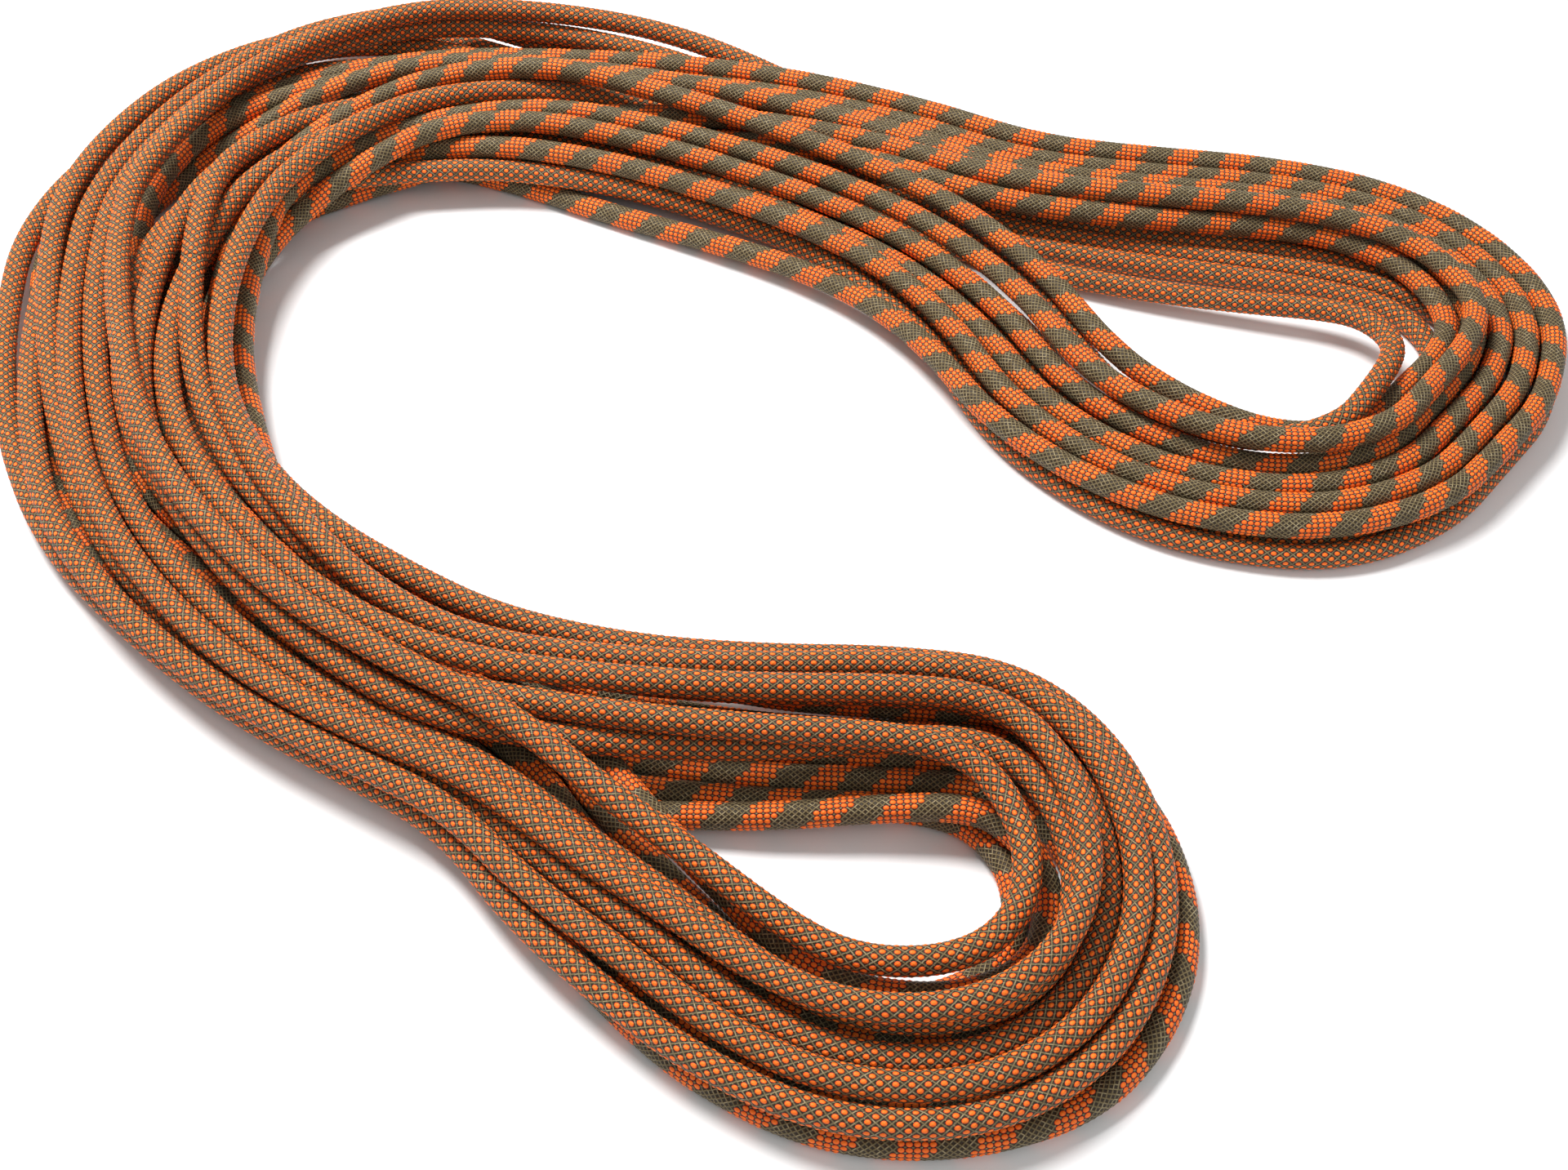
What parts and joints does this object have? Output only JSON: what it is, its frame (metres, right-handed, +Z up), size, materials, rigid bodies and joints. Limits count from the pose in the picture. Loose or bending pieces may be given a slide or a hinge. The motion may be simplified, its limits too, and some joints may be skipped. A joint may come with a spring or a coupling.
{
  "type": "dynamic climbing rope",
  "caption": "Dynamic climbing rope with a banded half and a dotted half, laid down as a loose C-shaped skein with an open loop at each end.",
  "frame": {"origin": "centre of the footprint, on the floor the skein lies on", "axes": "+Z up, +X along the skein's longest side, towards the tips of the C, +Y towards the back of the upper arm"},
  "size_m": [0.6296, 0.5598, 0.0484],
  "materials": {
    "banded_sheath": "braided",
    "dotted_sheath": "braided",
    "core": "twisted",
    "sleeve": "satin",
    "melted_nylon": "glossy",
    "marker_thread": "twisted"
  },
  "bodies": {
    "root": {"sheath_banded_turn_1": "banded_sheath", "core_banded_turn_1": "core", "sheath_banded_turn_2": "banded_sheath", "core_banded_turn_2": "core", "sheath_banded_turn_3": "banded_sheath", "core_banded_turn_3": "core", "sheath_banded_turn_4": "banded_sheath", "core_banded_turn_4": "core", "sheath_banded_turn_5": "banded_sheath", "core_banded_turn_5": "core", "sheath_banded_turn_6": "banded_sheath", "core_banded_turn_6": "core", "end_sleeve_banded": "sleeve", "melted_cap_banded": "melted_nylon", "core_strands_banded_end": "core", "marker_thread_banded_end": "marker_thread", "sheath_dotted_turn_1": "dotted_sheath", "core_dotted_turn_1": "core", "sheath_dotted_turn_2": "dotted_sheath", "core_dotted_turn_2": "core", "sheath_dotted_turn_3": "dotted_sheath", "core_dotted_turn_3": "core", "sheath_dotted_turn_4": "dotted_sheath", "core_dotted_turn_4": "core", "sheath_dotted_turn_5": "dotted_sheath", "core_dotted_turn_5": "core", "sheath_dotted_turn_6": "dotted_sheath", "core_dotted_turn_6": "core", "end_sleeve_dotted": "sleeve", "melted_cap_dotted": "melted_nylon", "core_strands_dotted_end": "core", "marker_thread_dotted_end": "marker_thread"}
  },
  "joints": []
}
